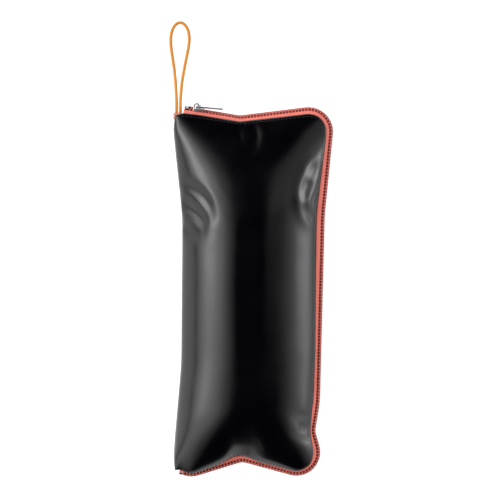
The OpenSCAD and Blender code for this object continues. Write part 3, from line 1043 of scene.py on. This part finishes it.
# The metal pieces are the CAD's own, remeshed and smoothed so that their edges are rounded.
CAST_VOXEL, CAST_SOFTENING = 0.12 * MM, 4
for node in ("slider_body", "pull_tab", "front_top_stop", "back_top_stop", "bottom_stop"):
    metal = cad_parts[node]
    metal.data.materials.clear()
    metal.data.materials.append(NICKEL)
    remesh = metal.modifiers.new("cast", "REMESH")
    remesh.mode, remesh.voxel_size, remesh.use_smooth_shade = "VOXEL", CAST_VOXEL, True
    soften = metal.modifiers.new("soften", "SMOOTH")
    soften.iterations = CAST_SOFTENING

# ---------------------------------------------------------------- stage and light


FLOOR_HALF, FLOOR_GLOW = 8, 0.88


def make_floor():
    m = Nodes("studio_floor", (0.5, 0.5, 0.5), 0.9)
    m.shader.inputs["Specular IOR Level"].default_value = 0.0
    m.shader.inputs["Emission Color"].default_value = (1, 1, 1, 1)
    m.shader.inputs["Emission Strength"].default_value = FLOOR_GLOW
    m.bump(m.noise(m.place(), 30), 0.1 * MM, 0.05)
    signs = ((-1, -1), (1, -1), (1, 1), (-1, 1))
    floor = new_object("floor", [(x * FLOOR_HALF, y * FLOOR_HALF, 0) for x, y in signs], [(0, 1, 2, 3)])
    floor.data.materials.append(m.material)


def soft_box(name, azimuth, tilt, away, size, radiance, aim=(0, 0, 0.03), mirrored=True):
    """A soft box away from the object: azimuth from +X, tilt from straight overhead, in degrees.
    size is across the azimuth, then along the tilt. Glossy surfaces show it only where mirrored."""
    light = bpy.data.lights.new(name, "AREA")
    light.shape, light.size, light.size_y = "RECTANGLE", size[0], size[1]
    light.energy = radiance * math.pi * size[0] * size[1]
    obj = bpy.data.objects.new(name, light)
    a, t = math.radians(azimuth), math.radians(tilt)
    back = Vector((math.sin(t) * math.cos(a), math.sin(t) * math.sin(a), math.cos(t)))
    obj.location = Vector(aim) + back * away
    obj.rotation_euler = back.to_track_quat("Z", "Y").to_euler()
    obj.visible_camera = False
    obj.visible_glossy = mirrored
    bpy.context.collection.objects.link(obj)


# The studio's brightness by how far a direction points to the left (below 0) or right.
ROOM = [
    (-1, 0.6), (-0.975, 1.6), (-0.9, 2.4), (-0.74, 2.3), (-0.58, 1.6), (-0.44, 0.7), (-0.24, 0.0),
    (0.6, 0.0), (0.74, 0.2), (0.84, 0.6), (0.92, 1.1), (0.965, 1.6), (0.985, 2.4), (1, 3.4)
]
ROOM_TOP = max(level for _, level in ROOM)
# The horizon's brightness, and how high a direction points where its glow ends.
HORIZON, HORIZON_TO = 0.8, 0.12
# Towards -Y the room dims to this share, from one direction's Y to another's.
FOOT_DIM, FOOT_DIM_FROM, FOOT_DIM_TO = 0.45, -0.15, -0.8


def make_world():
    """A dark ceiling, a broad pale wall to the left, a narrow one to the right that is brightest at
    its edge, and a pale horizon, all dimmed towards the bumper's foot."""
    world = bpy.data.worlds.new("studio")
    bpy.context.scene.world = world
    world.use_nodes = True
    tree = world.node_tree
    where = tree.nodes.new("ShaderNodeTexCoord")
    split = tree.nodes.new("ShaderNodeSeparateXYZ")
    tree.links.new(where.outputs["Generated"], split.inputs[0])
    across = map_range(tree, split.outputs["X"], -1, 1, 0, 1)
    ramp = tree.nodes.new("ShaderNodeValToRGB")
    ramp.color_ramp.interpolation = "EASE"
    stops = ramp.color_ramp.elements
    while len(stops) < len(ROOM):
        stops.new(0.5)
    for stop, (x, level) in zip(stops, ROOM):
        stop.position, stop.color = (x + 1) / 2, (*(3 * [level / ROOM_TOP]), 1)
    tree.links.new(across, ramp.inputs["Fac"])
    low = map_range(tree, split.outputs["Z"], 0, HORIZON_TO, HORIZON / ROOM_TOP, 0)
    bright = tree.nodes.new("ShaderNodeMath")
    bright.operation = "MAXIMUM"
    tree.links.new(ramp.outputs["Color"], bright.inputs[0])
    tree.links.new(low, bright.inputs[1])
    dimmed = FOOT_DIM * ROOM_TOP
    foot = map_range(tree, split.outputs["Y"], FOOT_DIM_TO, FOOT_DIM_FROM, dimmed, ROOM_TOP)
    strength = tree.nodes.new("ShaderNodeMath")
    strength.operation = "MULTIPLY"
    tree.links.new(foot, strength.inputs[1])
    tree.links.new(bright.outputs[0], strength.inputs[0])
    background = tree.nodes["Background"]
    background.inputs["Color"].default_value = (1, 1, 1, 1)
    tree.links.new(strength.outputs[0], background.inputs["Strength"])


make_floor()
make_world()
soft_box("key_left", 180, 57, 1.3, (0.8, 0.34), 3.6, aim=(0, 0.42, 0.03))
soft_box("upper_left", 180, 56, 1.3, (1.2, 0.95), 1.0, aim=(0, 0.56, 0.03))
soft_box("high_right", 0, 44, 1.4, (0.9, 1.1), 0.55, aim=(0, 0.51, 0.03))
soft_box("fill", 0, 1, 1.6, (1.5, 1.5), 1.2, mirrored=False)
soft_box("key_right", 0, 80, 1.3, (0.7, 0.4), 5.0, aim=(0, 0.39, 0.03))
bpy.context.scene.view_settings.view_transform = "Standard"
